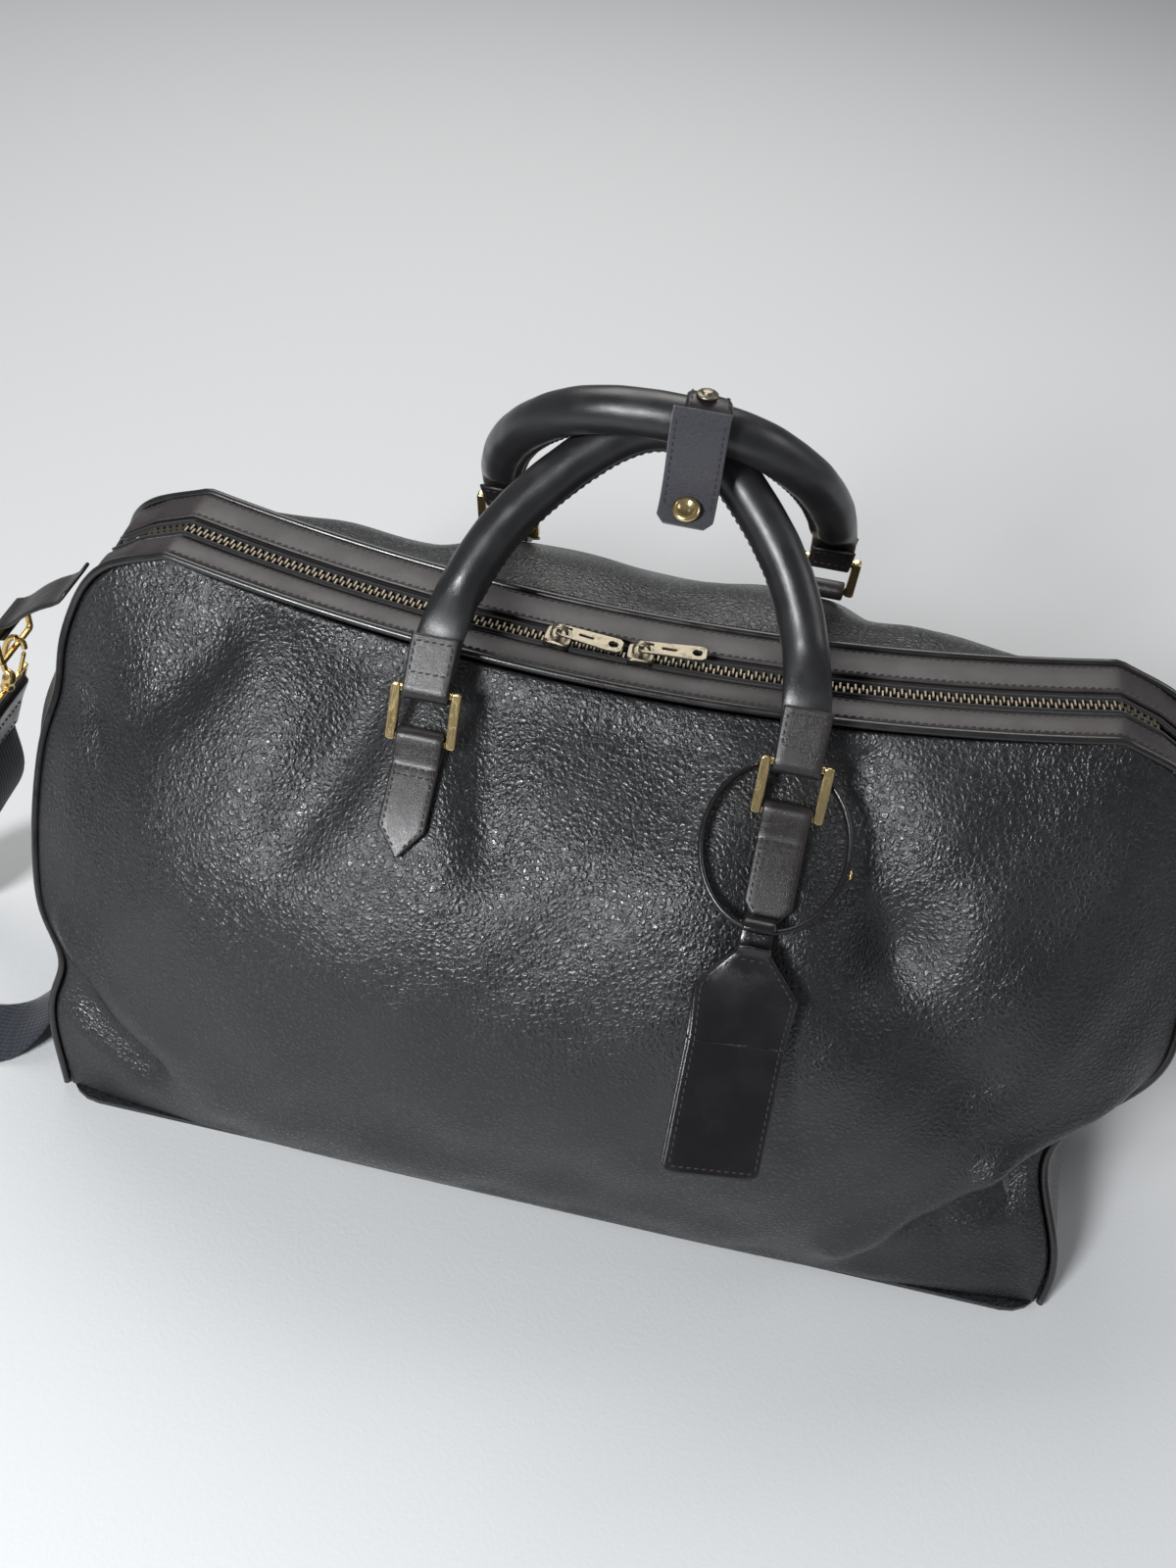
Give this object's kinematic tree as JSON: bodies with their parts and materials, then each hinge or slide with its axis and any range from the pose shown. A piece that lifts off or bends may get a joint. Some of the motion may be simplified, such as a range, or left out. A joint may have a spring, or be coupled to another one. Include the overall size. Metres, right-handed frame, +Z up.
{
  "type": "weekender bag",
  "caption": "Soft pebbled-leather holdall with a zipped top, rolled handles on brass rings, a handle keeper, a hanging tag and a clip-on shoulder strap.",
  "frame": {"origin": "centre of the base's underside, on the table", "axes": "+X along the bag to its right end as seen from the front, +Y from the front face to the back, +Z up"},
  "size_m": [0.7746, 0.3829, 0.3926],
  "materials": {
    "hide": "pebbled hide, semi-matt with a grey sheen",
    "smooth": "smooth waxed hide, satin",
    "edge": "smooth glossy piping and painted edges",
    "suede": "rough flesh side",
    "board": "stiffening board",
    "lining": "woven cotton",
    "brass": "bright polished brass",
    "antique": "antique brass, brushed",
    "webbing": "tight woven webbing"
  },
  "bodies": {
    "bag": {"base_panel": "hide", "base_board": "board", "front_panel": "hide", "back_panel": "hide", "front_lining": "lining", "back_lining": "lining", "front_piping": "edge", "back_piping": "edge", "end_panel_left": "hide", "end_panel_right": "hide", "front_top_strip": "smooth", "back_top_strip": "smooth", "front_zip_tape": "webbing", "back_zip_tape": "webbing", "front_zip_chain": "antique", "back_zip_chain": "antique", "front_chape_left": "smooth", "front_chape_right": "smooth", "back_chape_left": "smooth", "back_chape_right": "smooth", "end_tab_left": "smooth", "end_tab_right": "smooth", "strap_eye_left": "brass", "strap_eye_right": "brass", "strap_end_left": "smooth", "strap_end_right": "smooth", "webbing": "webbing"},
    "front_rings": {"front_ring_left": "brass", "front_ring_right": "brass"},
    "front_grip": {"front_handle": "smooth", "front_handle_core": "webbing", "front_handle_tab_left": "smooth", "front_handle_tab_right": "smooth"},
    "back_rings": {"back_ring_left": "brass", "back_ring_right": "brass"},
    "back_grip": {"back_handle": "smooth", "back_handle_core": "webbing", "back_handle_tab_left": "smooth", "back_handle_tab_right": "smooth", "keeper_band": "smooth", "snap_stud": "antique"},
    "keeper": {"keeper_flap": "suede", "snap_socket": "brass"},
    "tag_loop": {"tag_hoop": "smooth", "tag_rivet": "brass"},
    "tag": {"tag_back": "edge", "tag_front": "edge"},
    "zip_slider_left": {"slider_left": "antique", "bridge_left": "antique"},
    "zip_slider_right": {"slider_right": "antique", "bridge_right": "antique"},
    "zip_pull_left": {"pull_left": "antique"},
    "zip_pull_right": {"pull_right": "antique"},
    "side_ring_left": {"end_ring_left": "brass"},
    "side_ring_right": {"end_ring_right": "brass"},
    "clip_left": {"hook_left": "brass"},
    "clip_right": {"hook_right": "brass"},
    "clip_gate_left": {"gate_left": "brass"},
    "clip_gate_right": {"gate_right": "brass"}
  },
  "joints": [
    {"name": "front_ring_hinge", "type": "hinge", "parent": "bag", "child": "front_rings", "pos_m": [0, -0.08069, 0.24908], "axis": [1, 0, 0], "range_deg": [-2, 0]},
    {"name": "front_handle_hinge", "type": "hinge", "parent": "front_rings", "child": "front_grip", "pos_m": [0, -0.0714, 0.26902], "axis": [1, 0, 0], "range_deg": [-11, 0]},
    {"name": "back_ring_hinge", "type": "hinge", "parent": "bag", "child": "back_rings", "pos_m": [0, 0.07811, 0.25263], "axis": [1, 0, 0], "range_deg": [-24, 0]},
    {"name": "back_handle_hinge", "type": "hinge", "parent": "back_rings", "child": "back_grip", "pos_m": [0, 0.07205, 0.27378], "axis": [1, 0, 0], "range_deg": [-105, 0]},
    {"name": "keeper_hinge", "type": "hinge", "parent": "back_grip", "child": "keeper", "pos_m": [0.01468, -0.0122, 0.38979], "axis": [1, 0, 0], "range_deg": [-40, 0]},
    {"name": "tag_loop_hinge", "type": "hinge", "parent": "bag", "child": "tag_loop", "pos_m": [0.0775, -0.06388, 0.26373], "axis": [1, 0, 0], "range_deg": [-6, 0]},
    {"name": "tag_hinge", "type": "hinge", "parent": "tag_loop", "child": "tag", "pos_m": [0.0775, -0.12394, 0.22115], "axis": [1, 0, 0], "range_deg": [-90, 0]},
    {"name": "zip_left_slide", "type": "slide", "parent": "bag", "child": "zip_slider_left", "axis": [-0.9959, 0.0664, 0.0616], "range_m": [0, 0.15]},
    {"name": "zip_right_slide", "type": "slide", "parent": "bag", "child": "zip_slider_right", "axis": [0.998, 0.0467, 0.0433], "range_m": [0, 0.145]},
    {"name": "zip_pull_left_hinge", "type": "hinge", "parent": "zip_slider_left", "child": "zip_pull_left", "pos_m": [-0.03367, -0.01867, 0.27312], "axis": [0, 1, 0], "range_deg": [-150, 0]},
    {"name": "zip_pull_right_hinge", "type": "hinge", "parent": "zip_slider_right", "child": "zip_pull_right", "pos_m": [0.00377, -0.01901, 0.2728], "axis": [0, 1, 0], "range_deg": [-150, 0]},
    {"name": "side_ring_left_hinge", "type": "hinge", "parent": "bag", "child": "side_ring_left", "pos_m": [-0.308, -0.018, 0.213], "axis": [0, 1, 0], "range_deg": [-3, 3]},
    {"name": "clip_left_swivel", "type": "hinge", "parent": "bag", "child": "clip_left", "pos_m": [-0.31082, -0.018, 0.18884], "axis": [0.3419, 0, 0.9397], "range_deg": [-20, 20]},
    {"name": "clip_gate_left_hinge", "type": "hinge", "parent": "clip_left", "child": "clip_gate_left", "pos_m": [-0.30976, -0.018, 0.17803], "axis": [0, 1, 0], "range_deg": [-22, 0], "stiffness_Nm_per_rad": 0.02},
    {"name": "side_ring_right_hinge", "type": "hinge", "parent": "bag", "child": "side_ring_right", "pos_m": [0.308, -0.018, 0.213], "axis": [0, 1, 0], "range_deg": [-3, 3]},
    {"name": "clip_right_swivel", "type": "hinge", "parent": "bag", "child": "clip_right", "pos_m": [0.31082, -0.018, 0.18884], "axis": [-0.3419, 0, 0.9397], "range_deg": [-20, 20]},
    {"name": "clip_gate_right_hinge", "type": "hinge", "parent": "clip_right", "child": "clip_gate_right", "pos_m": [0.30976, -0.018, 0.17803], "axis": [0, 1, 0], "range_deg": [0, 22], "stiffness_Nm_per_rad": 0.02}
  ]
}
